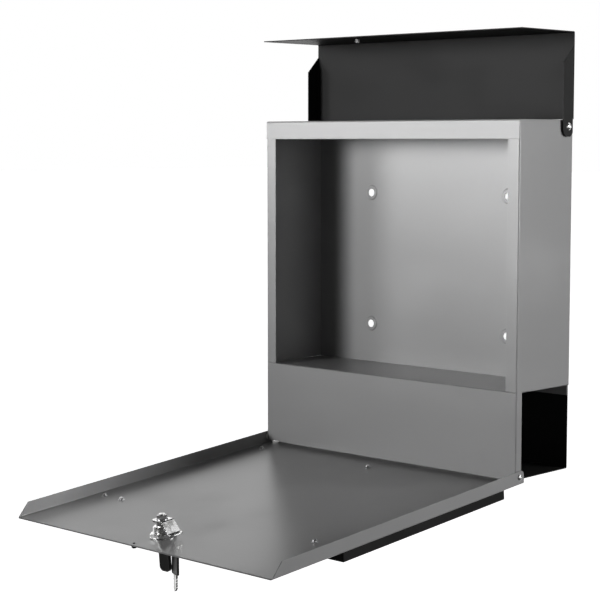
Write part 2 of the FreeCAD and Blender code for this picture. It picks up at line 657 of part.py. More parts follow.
def cam_washer():
    """Washer between the cam and its nut."""
    start, end = along_lock(CAM_TOP_Y), along_lock(CAM_TOP_Y + CAM_WASHER_THICKNESS)
    return rod(CAM_WASHER_RADIUS, start, end).cut(rod(CAM_STUD_RADIUS + SEAT_CLEARANCE, start, end))


def cam_nut():
    """Small nut that holds the cam on the plug."""
    start = along_lock(CAM_TOP_Y + CAM_WASHER_THICKNESS)
    nut = hexagon(CAM_NUT_FLATS, start, CAM_NUT_THICKNESS)
    return nut.cut(rod(CAM_STUD_RADIUS + SEAT_CLEARANCE, start - Y, start + Y * 10))


# ---- keys ---------------------------------------------------------------------------------------
def key_blade():
    """Flat blade on the lock axis with a pointed tip, set into its head."""
    half, end = BLADE_WIDTH / 2, BLADE_TIP_Y
    corners = [(-half, HEAD_TOP_Y), (half, HEAD_TOP_Y), (half, end - half), (0, end), (-half, end - half)]
    points = [Vector(x, y, LOCK_HEIGHT - BLADE_THICKNESS / 2) for x, y in corners]
    roundings = [0, 0, BLADE_TIP_ROUNDING, BLADE_NOSE_ROUNDING, BLADE_TIP_ROUNDING]
    return plate(points, roundings, Z * BLADE_THICKNESS)


def key_head(thickness, hole):
    """Moulded head with rounded corners; the hole takes the ring."""
    half = HEAD_WIDTH / 2
    corners = [(-half, HEAD_TOP_Y), (-half, HEAD_END_Y), (half, HEAD_END_Y), (half, HEAD_TOP_Y)]
    points = [Vector(x, y, LOCK_HEIGHT - thickness / 2) for x, y in corners]
    head = plate(points, [HEAD_NECK_CORNER, HEAD_CORNER, HEAD_CORNER, HEAD_NECK_CORNER], Z * thickness)
    if hole:
        at = Vector(0, HEAD_END_Y + HEAD_HOLE_INSET, LOCK_HEIGHT - thickness)
        head = head.cut(rod(HEAD_HOLE, at, at + Z * (2 * thickness)))
    return head


def ring_points():
    """Where the ring passes the neck, and its lowest point."""
    neck_x = -(BLADE_WIDTH / 2 + RING_NECK_SIDE_GAP + RING_WIRE)
    neck = Vector(neck_x, BEZEL_Y - RING_NECK_GAP - RING_WIRE, LOCK_HEIGHT)
    low = Vector(RING_LOW_X, BEZEL_Y - RING_LOW_DEPTH, LOCK_HEIGHT)
    return neck, low


def key_ring():
    """Wire ring round the neck of the key in the lock."""
    neck, low = ring_points()
    span = low - neck
    return Part.makeTorus(span.Length / 2, RING_WIRE, (neck + low) * 0.5, span.cross(Z))


def hung(shape):
    """Move a spare-key piece from the lock axis so that it hangs plumb from the ring."""
    neck, low = ring_points()
    hole = Vector(0, HEAD_END_Y + HEAD_HOLE_INSET, LOCK_HEIGHT)
    moved = shape.copy()
    moved.rotate(hole, Z, 180)
    moved.rotate(hole, Y, -SPARE_TURN)
    moved.rotate(hole, X, 90 - DOOR_OPEN_ANGLE)
    hole_drop = HEAD_HOLE - RING_WIRE - RING_REST_GAP
    moved.translate(low - hole - Y * hole_drop)
    return moved


# ---- buffers ------------------------------------------------------------------------------------
def buffer(seat, outward):
    """Small moulded buffer: a round pad with a shank pushed through the sheet."""
    pad = rod(BUFFER_RADIUS, seat, seat + outward * BUFFER_HEIGHT)
    rim = [e for e in pad.Edges if e.Closed and (e.CenterOfMass - seat).dot(outward) > BUFFER_HEIGHT / 2]
    pad = pad.makeFillet(BUFFER_ROUNDING, rim[:1])
    shank = rod(BUFFER_SHANK - SEAT_CLEARANCE, seat - outward * BUFFER_SHANK_END, seat)
    return pad.fuse(shank).removeSplitter()


def lid_buffer_seat():
    """On the inner face of the lid's drop, lid shut."""
    return Vector(LID_BUFFER_X, LID_FRONT + SHEET, LID_BOTTOM + LID_BUFFER_INSET)


def lid_buffer_shank():
    """Cutter for the lid buffer's hole."""
    seat = lid_buffer_seat()
    return rod(BUFFER_SHANK, seat - Y * 3, seat + Y)


def door_buffer_seat():
    """On the outer face of the door near its free edge."""
    return Vector(DOOR_BUFFER_X, DOOR_OUTER_Y, DOOR_TOP - DOOR_BUFFER_INSET)


# ---- write every node -----------------------------------------------------------------------------
export("front_frame", front_frame())
export("back_panel", back_panel())
export("top_panel", top_panel())
export("mail_floor", mail_floor())
export("newspaper_tray", newspaper_tray())
export("door_hinge_rivets", hinge_rivets(DOOR_AXIS, DOOR_RIVET_RADIUS, DOOR_RIVET_HEAD, DOOR_TAIL_RADIUS))
export("door_hinge_washers", hinge_washers(DOOR_AXIS, DOOR_RIVET_RADIUS))
export("lid_hinge_rivets", hinge_rivets(LID_AXIS, LID_RIVET_RADIUS, LID_RIVET_HEAD, LID_TAIL_RADIUS))
export("lid_hinge_washers", hinge_washers(LID_AXIS, LID_RIVET_RADIUS))

export("lid_cover", lifted(lid_cover()))
export("lid_buffer", lifted(buffer(lid_buffer_seat(), Y)))

export("door_panel", swung_open(door_panel()))
export("door_cover", swung_open(door_cover()))
export("cover_studs", swung_open(cover_studs()))
export("cover_push_nuts", swung_open(cover_push_nuts()))
export("door_buffer", swung_open(buffer(door_buffer_seat(), -Y)))

export("lock_housing", swung_open(lock_housing()))
export("lock_washer", swung_open(lock_washer()))
export("lock_nut", swung_open(lock_nut()))
export("lock_plug", swung_open(lock_plug()))
export("lock_wafers", swung_open(lock_wafers()))
export("lock_cam", swung_open(lock_cam()))
export("cam_washer", swung_open(cam_washer()))
export("cam_nut", swung_open(cam_nut()))

export("key_blade", swung_open(key_blade()))
export("key_head", swung_open(key_head(HEAD_THICKNESS, False)))
export("key_ring", swung_open(key_ring()))
export("spare_key_blade", swung_open(hung(key_blade())))
export("spare_key_head", swung_open(hung(key_head(SPARE_HEAD_THICKNESS, True))))
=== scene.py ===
import json
import math

import bmesh
import bpy
from mathutils import Matrix, Vector


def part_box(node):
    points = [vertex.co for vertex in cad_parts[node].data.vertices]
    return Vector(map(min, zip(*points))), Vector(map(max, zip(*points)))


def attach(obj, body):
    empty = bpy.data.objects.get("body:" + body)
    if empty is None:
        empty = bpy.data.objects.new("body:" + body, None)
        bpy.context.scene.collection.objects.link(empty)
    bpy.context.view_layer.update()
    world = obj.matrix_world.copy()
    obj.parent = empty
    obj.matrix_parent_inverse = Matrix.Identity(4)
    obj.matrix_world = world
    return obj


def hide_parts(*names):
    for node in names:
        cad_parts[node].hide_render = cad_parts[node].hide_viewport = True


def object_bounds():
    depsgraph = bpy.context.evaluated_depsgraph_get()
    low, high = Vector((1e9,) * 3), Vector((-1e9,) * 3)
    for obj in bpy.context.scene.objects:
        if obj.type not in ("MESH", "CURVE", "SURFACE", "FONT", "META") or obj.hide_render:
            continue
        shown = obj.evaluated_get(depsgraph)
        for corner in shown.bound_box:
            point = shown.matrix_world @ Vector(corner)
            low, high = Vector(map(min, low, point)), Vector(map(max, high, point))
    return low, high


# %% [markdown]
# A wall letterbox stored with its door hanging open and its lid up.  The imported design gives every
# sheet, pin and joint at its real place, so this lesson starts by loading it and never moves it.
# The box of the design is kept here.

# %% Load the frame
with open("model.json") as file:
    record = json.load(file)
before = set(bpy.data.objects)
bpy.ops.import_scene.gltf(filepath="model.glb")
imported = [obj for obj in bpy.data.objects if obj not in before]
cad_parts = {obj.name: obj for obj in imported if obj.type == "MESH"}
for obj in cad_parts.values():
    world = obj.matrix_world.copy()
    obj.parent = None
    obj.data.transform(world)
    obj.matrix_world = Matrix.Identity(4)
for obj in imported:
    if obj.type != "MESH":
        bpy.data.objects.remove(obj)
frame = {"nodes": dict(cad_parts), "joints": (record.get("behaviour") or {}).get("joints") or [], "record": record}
design_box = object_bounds()
joints = {joint["name"]: joint for joint in frame["joints"]}
print("nodes:", len(frame["nodes"]))

# %% [markdown]
# The letterbox hangs on a wall, so the view of it is a portrait with a long lens: from the right,
# slightly above, turned about 43 degrees.  A long lens keeps the sides of the box nearly parallel.
# The picture is shown with the plain Standard curve, so that white paper stays white.

# %% Camera
CAMERA_PLACE = (1.1955, -1.4876, 0.1354)
CAMERA_TURN = 43.41       # degrees, about the vertical
CAMERA_TILT = 5.34        # degrees, looking down
CAMERA_LENS = 102.6       # millimetres

camera = bpy.data.objects.new("camera", bpy.data.cameras.new("camera"))
camera.data.lens = CAMERA_LENS
camera.location = CAMERA_PLACE
camera.rotation_euler = (math.radians(90 - CAMERA_TILT), 0, math.radians(CAMERA_TURN))
bpy.context.scene.collection.objects.link(camera)
bpy.context.scene.camera = camera
bpy.context.scene.view_settings.view_transform = "Standard"
print("camera at", CAMERA_PLACE)

# %% [markdown]
# Product light: a soft box in front on the left, with a weaker card further left, lights the front
# and leaves the inside of the left wall in shadow.  Both have a grid and are aimed above the
# letterbox, so it gets darker downwards.  A large box behind on the right lights the outer side, a
# weak one on the right opens up the shadows, and a small card above and behind lights the lock's
# cam.  Area lights are used because their size sets how soft shadows are.

# %% Lights
def soft_box(name, place, size, power, aim=(0, -0.05, 0), spread=180):
    """A square area light that looks at a point; a grid in front of it narrows its spread."""
    light = bpy.data.lights.new(name, "AREA")
    light.size = size
    light.energy = power
    light.spread = math.radians(spread)
    holder = bpy.data.objects.new(name, light)
    holder.location = place
    holder.rotation_euler = (Vector(aim) - Vector(place)).to_track_quat("-Z", "Y").to_euler()
    bpy.context.scene.collection.objects.link(holder)


HIGH = (0, -0.05, 0.36)             # a point above the letterbox
CAM = (0, -0.41, -0.22)             # the lock's cam on the open door
soft_box("key_box", (-0.8, -2.6, 0.42), 0.9, 3.6, aim=HIGH, spread=32)
soft_box("left_card", (-1.9, -2.0, 0.5), 0.8, 0.75, aim=HIGH, spread=34)
soft_box("side_box", (2.2, 1.05, 0.3), 1.0, 42)
soft_box("fill_box", (2.4, -0.6, -0.2), 1.2, 3)
soft_box("cam_card", (0.75, 1.0, 1.1), 0.5, 1.2, aim=CAM)

# %% [markdown]
# Behind the letterbox stands a bright white backdrop; the rest of the studio is dark.  The open
# door lies almost level with the eye, so it mirrors that backdrop on its free side.  The camera
# itself sees pure white everywhere, like paper.

# %% Surroundings
ROOM_GLOW = 0.06
BACKDROP_GLOW = 1.3
world = bpy.data.worlds.new("studio")
world.use_nodes = True
bpy.context.scene.world = world
sky = world.node_tree
glow = sky.nodes["Background"]
glow.inputs["Color"].default_value = (1, 1, 1, 1)


def spread(tree, value, low, high, to_low=0.0, to_high=1.0):
    """Map a value's range to another, clamped at both ends."""
    node = tree.nodes.new("ShaderNodeMapRange")
    node.inputs["From Min"].default_value = low
    node.inputs["From Max"].default_value = high
    node.inputs["To Min"].default_value = to_low
    node.inputs["To Max"].default_value = to_high
    tree.links.new(value, node.inputs["Value"])
    return node.outputs["Result"]


look = sky.nodes.new("ShaderNodeTexCoord").outputs["Generated"]
behind = sky.nodes.new("ShaderNodeVectorMath")
behind.operation = "DOT_PRODUCT"
turn = math.radians(CAMERA_TURN)
behind.inputs[1].default_value = (-math.sin(turn), math.cos(turn), 0)
sky.links.new(look, behind.inputs[0])
height = sky.nodes.new("ShaderNodeSeparateXYZ")
sky.links.new(look, height.inputs["Vector"])
backdrop = sky.nodes.new("ShaderNodeMath")
backdrop.operation = "MULTIPLY"
sky.links.new(spread(sky, behind.outputs["Value"], 0.35, 0.8, 0, BACKDROP_GLOW), backdrop.inputs[0])
sky.links.new(spread(sky, height.outputs["Z"], 0.7, 0.35), backdrop.inputs[1])
room = sky.nodes.new("ShaderNodeMath")
room.inputs[1].default_value = ROOM_GLOW
sky.links.new(backdrop.outputs["Value"], room.inputs[0])
seen = sky.nodes.new("ShaderNodeMix")
ray = sky.nodes.new("ShaderNodeLightPath")
sky.links.new(ray.outputs["Is Camera Ray"], seen.inputs["Factor"])
sky.links.new(room.outputs["Value"], seen.inputs["A"])
seen.inputs["B"].default_value = 1.0
sky.links.new(seen.outputs["Result"], glow.inputs["Strength"])
print("backdrop glow", BACKDROP_GLOW, "room glow", ROOM_GLOW)

# %% [markdown]
# The floor is a plain pale sheet well below the box, because the box hangs on a wall and only its
# soft shadow would reach the ground.  It is one large grid with its edges far outside the view.
# It takes shadows but sends no light back, so the undersides stay as dark as on a wall.

# %% Floor
FLOOR_DROP = 0.28         # lowest point of the letterbox to the floor
FLOOR_SIZE = 60.0


def plain_floor(height):
    """A wide flat floor in pale matt paint."""
    shape = bmesh.new()
    bmesh.ops.create_grid(shape, x_segments=2, y_segments=2, size=FLOOR_SIZE / 2)
    bmesh.ops.translate(shape, verts=shape.verts, vec=(0, 0, height))
    mesh = bpy.data.meshes.new("floor")
    shape.to_mesh(mesh)
    shape.free()
    paint = bpy.data.materials.new("floor_paint")
    paint.use_nodes = True
    body = paint.node_tree.nodes["Principled BSDF"]
    body.inputs["Base Color"].default_value = (0.95, 0.95, 0.95, 1)
    body.inputs["Roughness"].default_value = 0.9
    body.inputs["Specular IOR Level"].default_value = 0.1
    body.inputs["Emission Color"].default_value = (1, 1, 1, 1)
    body.inputs["Emission Strength"].default_value = 0.9
    mesh.materials.append(paint)
    floor = bpy.data.objects.new("floor", mesh)
    floor.visible_diffuse = False
    floor.visible_glossy = False
    bpy.context.scene.collection.objects.link(floor)


plain_floor(design_box[0][2] - FLOOR_DROP)
print("floor at", round(design_box[0][2] - FLOOR_DROP, 3))

# %% [markdown]
# Powder coat is a baked plastic skin.  Close up it has a fine pebbled grain over a slower swell
# like orange peel.  Several coats here share that effect, so it is one node group that gives a
# shade and a height, both worked out from the piece's own coordinates in metres.

# %% Group: coat grain
def new_group(name, inputs, outputs):
    """An empty shader group with its sockets, and its input and output nodes."""
    tree = bpy.data.node_groups.new(name, "ShaderNodeTree")
    for label, value in inputs:
        socket = tree.interface.new_socket(label, in_out="INPUT", socket_type="NodeSocketFloat")
        socket.default_value = value
    for label in outputs:
        tree.interface.new_socket(label, in_out="OUTPUT", socket_type="NodeSocketFloat")
    return tree, tree.nodes.new("NodeGroupInput"), tree.nodes.new("NodeGroupOutput")


def noise(tree, scale, detail=2.0, roughness=0.5, stretch=None, turn=None):
    """A noise on the piece's own coordinates, stretched and turned where asked."""
    place = tree.nodes.new("ShaderNodeTexCoord").outputs["Object"]
    if stretch is not None:
        mapping = tree.nodes.new("ShaderNodeMapping")
        mapping.inputs["Scale"].default_value = stretch
        mapping.inputs["Rotation"].default_value = turn or (0, 0, 0)
        tree.links.new(place, mapping.inputs["Vector"])
        place = mapping.outputs["Vector"]
    texture = tree.nodes.new("ShaderNodeTexNoise")
    texture.inputs["Detail"].default_value = detail
    texture.inputs["Roughness"].default_value = roughness
    texture.inputs["Scale"].default_value = scale
    tree.links.new(place, texture.inputs["Vector"])
    return texture.outputs["Fac"]


def calc(tree, operation, first, second=None, third=None):
    """One Math node, whose inputs are sockets or numbers."""
    node = tree.nodes.new("ShaderNodeMath")
    node.operation = operation
    for slot, value in zip(node.inputs, (first, second, third)):
        if value is None:
            continue
        if isinstance(value, bpy.types.NodeSocket):
            tree.links.new(value, slot)
        else:
            slot.default_value = value
    return node.outputs["Value"]


def coat_grain_group():
    """Shade around 1 and height from 0 to 1 of a baked powder coat."""
    tree, given, result = new_group("coat_grain", [("Depth", 0.06)], ["Shade", "Height"])
    pebbles = noise(tree, 2600, 2.0, 0.6)
    swell = noise(tree, 420, 1.0)
    cloud = noise(tree, 9, 2.0)
    both = calc(tree, "MULTIPLY_ADD", pebbles, 0.6, calc(tree, "MULTIPLY", swell, 0.4))
    tree.links.new(both, result.inputs["Height"])
    fleck = calc(tree, "MULTIPLY", calc(tree, "SUBTRACT", pebbles, 0.5), given.outputs["Depth"])
    drift = calc(tree, "MULTIPLY", calc(tree, "SUBTRACT", cloud, 0.5), 0.08)
    tree.links.new(calc(tree, "ADD", calc(tree, "ADD", fleck, drift), 1.0), result.inputs["Shade"])
    return tree


coat_grain = coat_grain_group()
print("group:", coat_grain.name, [item.name for item in coat_grain.interface.items_tree])

# %% [markdown]
# Sheet that has been folded, drilled and wiped shows faint marks: long hair-thin scuffs and soft
# smears left by a cloth.  Both only change the gloss, so the group gives one mask.  Stretching a
# noise along one direction and keeping only its crests draws the scuffs.

# %% Group: handling marks
def handling_marks_group():
    """Mask of scuffs and smears, 0 where the coat is clean."""
    tree, given, result = new_group("handling_marks", [("Amount", 1.0)], ["Mask"])
    along = noise(tree, 60, 3.0, 0.6, (1.0, 9.0, 14.0), (0.2, 0.5, 0.6))
    across = noise(tree, 70, 3.0, 0.6, (12.0, 1.2, 9.0), (0.7, -0.3, -0.4))
    hairs = calc(tree, "MAXIMUM", spread(tree, along, 0.66, 0.74), spread(tree, across, 0.67, 0.75))
    smears = spread(tree, noise(tree, 7, 3.0, 0.55, (1.0, 1.0, 2.4)), 0.5, 0.72)
    total = calc(tree, "MULTIPLY_ADD", hairs, 0.35, calc(tree, "MULTIPLY", smears, 0.65))
    tree.links.new(calc(tree, "MULTIPLY", total, given.outputs["Amount"]), result.inputs["Mask"])
    return tree


handling_marks = handling_marks_group()
print("group:", handling_marks.name)

# %% [markdown]
# Paint runs thin on a sharp edge, and an edge catches the light.  The coats paint both as one
# lighter tone there, so part of that tone is a painted highlight; plate uses the same mask only to
# polish its edges.  The Bevel node gives the normal that a slightly rounded edge would have; where
# it differs from the true normal there is an edge.  This finds edges on any mesh, so no attribute
# has to be painted.

# %% Group: worn and highlit edges
def worn_and_highlit_edges_group():
    """Mask of edges, broken up a little, 0 on flat surfaces."""
    tree, given, result = new_group("worn_and_highlit_edges", [("Radius", 0.0004), ("Amount", 1.0)], ["Mask"])
    rounding = tree.nodes.new("ShaderNodeBevel")
    rounding.samples = 4
    tree.links.new(given.outputs["Radius"], rounding.inputs["Radius"])
    true_normal = tree.nodes.new("ShaderNodeNewGeometry").outputs["Normal"]
    dot = tree.nodes.new("ShaderNodeVectorMath")
    dot.operation = "DOT_PRODUCT"
    tree.links.new(rounding.outputs["Normal"], dot.inputs[0])
    tree.links.new(true_normal, dot.inputs[1])
    edge = spread(tree, dot.outputs["Value"], 0.995, 0.90)
    patchy = spread(tree, noise(tree, 120, 3.0), 0.35, 0.6, 0.35, 1.0)
    mask = calc(tree, "MULTIPLY", calc(tree, "MULTIPLY", edge, patchy), given.outputs["Amount"])
    tree.links.new(mask, result.inputs["Mask"])
    return tree


worn_and_highlit_edges = worn_and_highlit_edges_group()
print("group:", worn_and_highlit_edges.name)

# %% [markdown]
# A little dust settles on whatever faces up.  The mask is the upward part of the normal times a
# soft noise, and materials use it to lift the colour and dull the gloss.

# %% Group: settled dust
def settled_dust_group():
    """Mask of dust on upward faces."""
    tree, given, result = new_group("settled_dust", [("Amount", 0.2)], ["Mask"])
    normal = tree.nodes.new("ShaderNodeSeparateXYZ")
    surface = tree.nodes.new("ShaderNodeNewGeometry")
    tree.links.new(surface.outputs["Normal"], normal.inputs["Vector"])
    upward = spread(tree, normal.outputs["Z"], 0.5, 0.95)
    specks = spread(tree, noise(tree, 300, 4.0, 0.7), 0.45, 0.75, 0.2, 1.0)
    drifts = spread(tree, noise(tree, 11, 2.0), 0.3, 0.7, 0.3, 1.0)
    mask = calc(tree, "MULTIPLY", calc(tree, "MULTIPLY", upward, specks), drifts)
    tree.links.new(calc(tree, "MULTIPLY", mask, given.outputs["Amount"]), result.inputs["Mask"])
    return tree


settled_dust = settled_dust_group()
print("group:", settled_dust.name)

# %% [markdown]
# All painted sheet follows one recipe, with its own colour and gloss: the grain shades the paint
# and bumps it, marks and dust change the gloss, and edges show a lighter tone, partly thinner coat
# and partly a painted highlight.  Numbers that are the same all over go straight to the shader's
# own sockets.

# %% Recipe: coated sheet
def place_group(tree, group, **values):
    """A group node with its inputs set."""
    node = tree.nodes.new("ShaderNodeGroup")
    node.node_tree = group
    for label, value in values.items():
        node.inputs[label].default_value = value
    return node


def tint(tree, factor, first, second):
    """Mix two colours by a factor; each is a socket or a grey level."""
    mix = tree.nodes.new("ShaderNodeMix")
    mix.data_type = "RGBA"
    tree.links.new(factor, mix.inputs["Factor"])
    for label, value in (("A", first), ("B", second)):
        socket = [s for s in mix.inputs if s.name == label and s.type == "RGBA"][0]
        if isinstance(value, bpy.types.NodeSocket):
            tree.links.new(value, socket)
        else:
            socket.default_value = (*value, 1)
    return [s for s in mix.outputs if s.type == "RGBA"][0]


def shaded(tree, colour, shade):
    """A colour times a shade socket."""
    scale = tree.nodes.new("ShaderNodeVectorMath")
    scale.operation = "SCALE"
    scale.inputs[0].default_value = colour
    tree.links.new(shade, scale.inputs["Scale"])
    return scale.outputs["Vector"]


def bump(tree, height, strength, distance):
    """A normal from a height."""
    node = tree.nodes.new("ShaderNodeBump")
    node.inputs["Strength"].default_value = strength
    node.inputs["Distance"].default_value = distance
    tree.links.new(height, node.inputs["Height"])
    return node.outputs["Normal"]


def new_material(name):
    """An empty material with its shader."""
    material = bpy.data.materials.new(name)
    material.use_nodes = True
    tree = material.node_tree
    return material, tree, tree.nodes["Principled BSDF"]


def coated(name, colour, thin_coat_and_highlight_colour, gloss, metallic=0.0, specular=0.5, grain=0.06, marks=1.0,
           dust=0.15, depth=0.5):
    """Powder-coated sheet: gloss is the roughness of the clean coat."""
    material, tree, body = new_material(name)
    skin = place_group(tree, coat_grain, Depth=grain)
    mark = place_group(tree, handling_marks, Amount=marks)
    edge = place_group(tree, worn_and_highlit_edges, Radius=0.0005, Amount=0.8)
    dirt = place_group(tree, settled_dust, Amount=dust)
    paint = shaded(tree, colour, skin.outputs["Shade"])
    # Sharp edges are painted lighter: partly the thinner coat, partly a painted highlight where an edge catches
    # the light.
    paint = tint(tree, edge.outputs["Mask"], paint, thin_coat_and_highlight_colour)
    paint = tint(tree, dirt.outputs["Mask"], paint, (0.42, 0.41, 0.39))
    tree.links.new(paint, body.inputs["Base Color"])
    rough = calc(tree, "MULTIPLY_ADD", mark.outputs["Mask"], 0.10, gloss)
    rough = calc(tree, "MULTIPLY_ADD", dirt.outputs["Mask"], 0.35, rough)
    tree.links.new(rough, body.inputs["Roughness"])
    tree.links.new(bump(tree, skin.outputs["Height"], depth, 0.00006), body.inputs["Normal"])
    body.inputs["Metallic"].default_value = metallic
    body.inputs["Specular IOR Level"].default_value = specular
    print("material:", name)
    return material


# The second colour of each coat is its lighter edge tone, partly thinner coat and partly a painted highlight.
silver_coat = coated("silver_coat", (0.30, 0.30, 0.302), (0.42, 0.42, 0.42), 0.30, 0.15)
black_coat = coated("black_coat", (0.012, 0.012, 0.012), (0.045, 0.045, 0.045), 0.46, specular=0.1,
                    marks=1.4, dust=0.06)
black_gloss = coated("black_gloss", (0.006, 0.006, 0.006), (0.035, 0.035, 0.035), 0.30,
                     specular=0.3, dust=0.05)

# %% [markdown]
# The lock and the rivets are nickel plated, and the small springy parts are zinc plated.  Plate
# is a metal, so it has no colour of its own but the reflected one; fine turned lines and a slight
# tarnish keep it from looking like a mirror.

# %% Recipe: plated metal
def plated(name, colour, dull_colour, gloss, lines=0.25):
    """Bright plated metal with a little tarnish and fine lines."""
    material, tree, body = new_material(name)
    fine = noise(tree, 1400, 3.0, 0.6, (1.0, 1.0, 0.12))
    stain = spread(tree, noise(tree, 160, 3.0, 0.6), 0.45, 0.75)
    edge = place_group(tree, worn_and_highlit_edges, Radius=0.00025, Amount=0.5)
    tree.links.new(tint(tree, stain, colour, dull_colour), body.inputs["Base Color"])
    rough = calc(tree, "MULTIPLY_ADD", stain, 0.16, calc(tree, "MULTIPLY_ADD", fine, 0.10, gloss))
    polish = calc(tree, "MULTIPLY", edge.outputs["Mask"], 0.05)
    tree.links.new(calc(tree, "SUBTRACT", rough, polish), body.inputs["Roughness"])
    tree.links.new(bump(tree, fine, lines, 0.00002), body.inputs["Normal"])
    body.inputs["Metallic"].default_value = 1.0
    print("material:", name)
    return material


bright_metal = plated("bright_metal", (0.86, 0.86, 0.86), (0.60, 0.60, 0.58), 0.13)
spring_steel = plated("spring_steel", (0.62, 0.62, 0.63), (0.40, 0.40, 0.39), 0.24, 0.4)
wafer_brass = plated("brass", (0.80, 0.62, 0.28), (0.55, 0.40, 0.18), 0.22, 0.4)

# %% [markdown]
# Moulded plastic and rubber share a recipe: an even colour with a barely visible mottling, the
# fine spark-eroded grain of the mould as a bump, and dust in the grain.

# %% Recipe: moulded plastic
def moulded(name, colour, gloss, grain=0.35, specular=0.5):
    """Moulded plastic or rubber with a mould grain."""
    material, tree, body = new_material(name)
    pits = noise(tree, 3000, 3.0, 0.7)
    mottle = spread(tree, noise(tree, 240, 2.0), 0.3, 0.7, 0.85, 1.15)
    dirt = place_group(tree, settled_dust, Amount=0.12)
    tree.links.new(tint(tree, dirt.outputs["Mask"], shaded(tree, colour, mottle), (0.4, 0.4, 0.38)),
                   body.inputs["Base Color"])
    tree.links.new(calc(tree, "MULTIPLY_ADD", pits, 0.15, gloss), body.inputs["Roughness"])
    tree.links.new(bump(tree, pits, grain, 0.00004), body.inputs["Normal"])
    body.inputs["Specular IOR Level"].default_value = specular
    print("material:", name)
    return material


black_plastic = moulded("black_plastic", (0.012, 0.012, 0.012), 0.30)
black_rubber = moulded("black_rubber", (0.018, 0.018, 0.018), 0.62, 0.6, 0.3)
white_nylon = moulded("white_nylon", (0.78, 0.78, 0.75), 0.38)
clear_plastic = moulded("clear_plastic", (0.55, 0.55, 0.55), 0.25)

MATERIALS = {
    "silver_coat": silver_coat,
    "black_coat": black_coat,
    "black_gloss": black_gloss,
    "bright_metal": bright_metal,
    "spring_steel": spring_steel,
    "brass": wafer_brass,
    "black_plastic": black_plastic,
    "black_rubber": black_rubber,
    "white_nylon": white_nylon,
    "clear_plastic": clear_plastic,
}

# %% [markdown]
# Every finished shape becomes a piece in the same way: it rides on a body, names the finish it
# takes from the record, stands for the design's node, and is smooth except at its sharp edges.

# %% Helper: finish a piece
SLOTS = {part["node"]: part["material_slot"] for part in frame["record"]["subparts"]}
BODIES = {
    node: body
    for body, nodes in frame["record"]["behaviour"]["bodies"].items()
    for node in nodes
}
SHARP = math.radians(32)


def finish_piece(name, shape, node, replace=True):
    """Turn a bmesh into a piece that stands for a node, or goes with it."""
    mesh = bpy.data.meshes.new(name)
    shape.to_mesh(mesh)
    shape.free()
    mesh.shade_smooth()
    mesh.set_sharp_from_angle(angle=SHARP)
    mesh.materials.append(MATERIALS[SLOTS[node]])
    piece = bpy.data.objects.new(name, mesh)
    bpy.context.scene.collection.objects.link(piece)
    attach(piece, BODIES[node])
    if replace:
        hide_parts(node)
    print(f"{name}: {len(mesh.polygons)} faces")
    return piece

# %% [markdown]
# Real folded sheet has no razor edges: the coat wraps round them.  The design's mesh is loose
# triangles, so each sheet is copied, its corners are merged, its flat faces are joined, and a fine
# bevel rounds every edge.  Weighting the normals by area keeps flat faces flat.

# %% Coated sheets and simple parts with soft edges
SAME_CORNER = 2e-6                  # metres
FLAT_WITHIN = math.radians(0.6)


def joined_copy(node):
    """The node's shape as one connected mesh with whole flat faces."""
    shape = bmesh.new()
    shape.from_mesh(frame["nodes"][node].data)
    bmesh.ops.remove_doubles(shape, verts=shape.verts, dist=SAME_CORNER)
    bmesh.ops.dissolve_limit(
        shape, angle_limit=FLAT_WITHIN, verts=shape.verts, edges=shape.edges)
    return shape


def rounded_edges(piece, width, segments=2, least_angle=SHARP):
    """Fine bevels on the sharp edges, and normals that keep flat faces flat."""
    bevel = piece.modifiers.new("round_edges", "BEVEL")
    bevel.width = width
    bevel.segments = segments
    bevel.limit_method = "ANGLE"
    bevel.angle_limit = least_angle
    weighted = piece.modifiers.new("flat_faces", "WEIGHTED_NORMAL")
    weighted.weight = 100
    weighted.keep_sharp = True


def soft_edged(name, node, width):
    """A piece with the node's shape and softened edges."""
    rounded_edges(finish_piece(name, joined_copy(node), node), width)


SHEET_EDGE = 0.0003
SEAM_EDGE = 0.00045       # wider where two sheets butt, so that the seam shows
SMALL_EDGE = 0.00018
for sheet in ("back_panel", "mail_floor", "newspaper_tray", "lid_cover", "door_panel",
              "door_cover"):
    soft_edged(sheet + "_coated", sheet, SHEET_EDGE)
soft_edged("top_panel_coated", "top_panel", SEAM_EDGE)
for part in ("door_hinge_washers", "lid_hinge_washers", "lock_wafers", "lock_cam"):
    soft_edged(part + "_smooth", part, SMALL_EDGE)

# %% [markdown]
# The lower panel meets the two stiles in a seam level with the floor inside, where two edges of
# the folded sheet butt together.  Slicing the front sheet there and pressing the middle of the
# slice inwards leaves that fine line, and bends nothing else.

# %% Front sheet with its seam
SEAM_HALF = 0.0008
SEAM_DEPTH = 0.0008
ON_PLANE = 1e-5                     # metres; a corner this near a plane lies on it


def slice_at(shape, point, normal):
    """Cut every face along a plane without removing anything."""
    geometry = shape.verts[:] + shape.edges[:] + shape.faces[:]
    bmesh.ops.bisect_plane(shape, geom=geometry, plane_co=point, plane_no=normal)


def front_sheet(node):
    """The front sheet with a pressed line across each stile."""
    shape = joined_copy(node)
    _, floor_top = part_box("mail_floor")
    front = min(v.co.y for v in shape.verts)
    for shift in (-SEAM_HALF, 0, SEAM_HALF):
        slice_at(shape, (0, 0, floor_top.z + shift), (0, 0, 1))
    for vertex in shape.verts:
        if abs(vertex.co.z - floor_top.z) < ON_PLANE and vertex.co.y < front + ON_PLANE:
            vertex.co.y += SEAM_DEPTH
    return shape


front = finish_piece("front_frame_coated", front_sheet("front_frame"), "front_frame")
rounded_edges(front, SEAM_EDGE)

# %% [markdown]
# The lock and its keys share the lock's axis.  It is easiest to shape them upright, with Z along
# that axis and Y towards the door's free edge, in millimetres, and then set them down in place.

# %% Helper: lathe and place
MM = 0.001


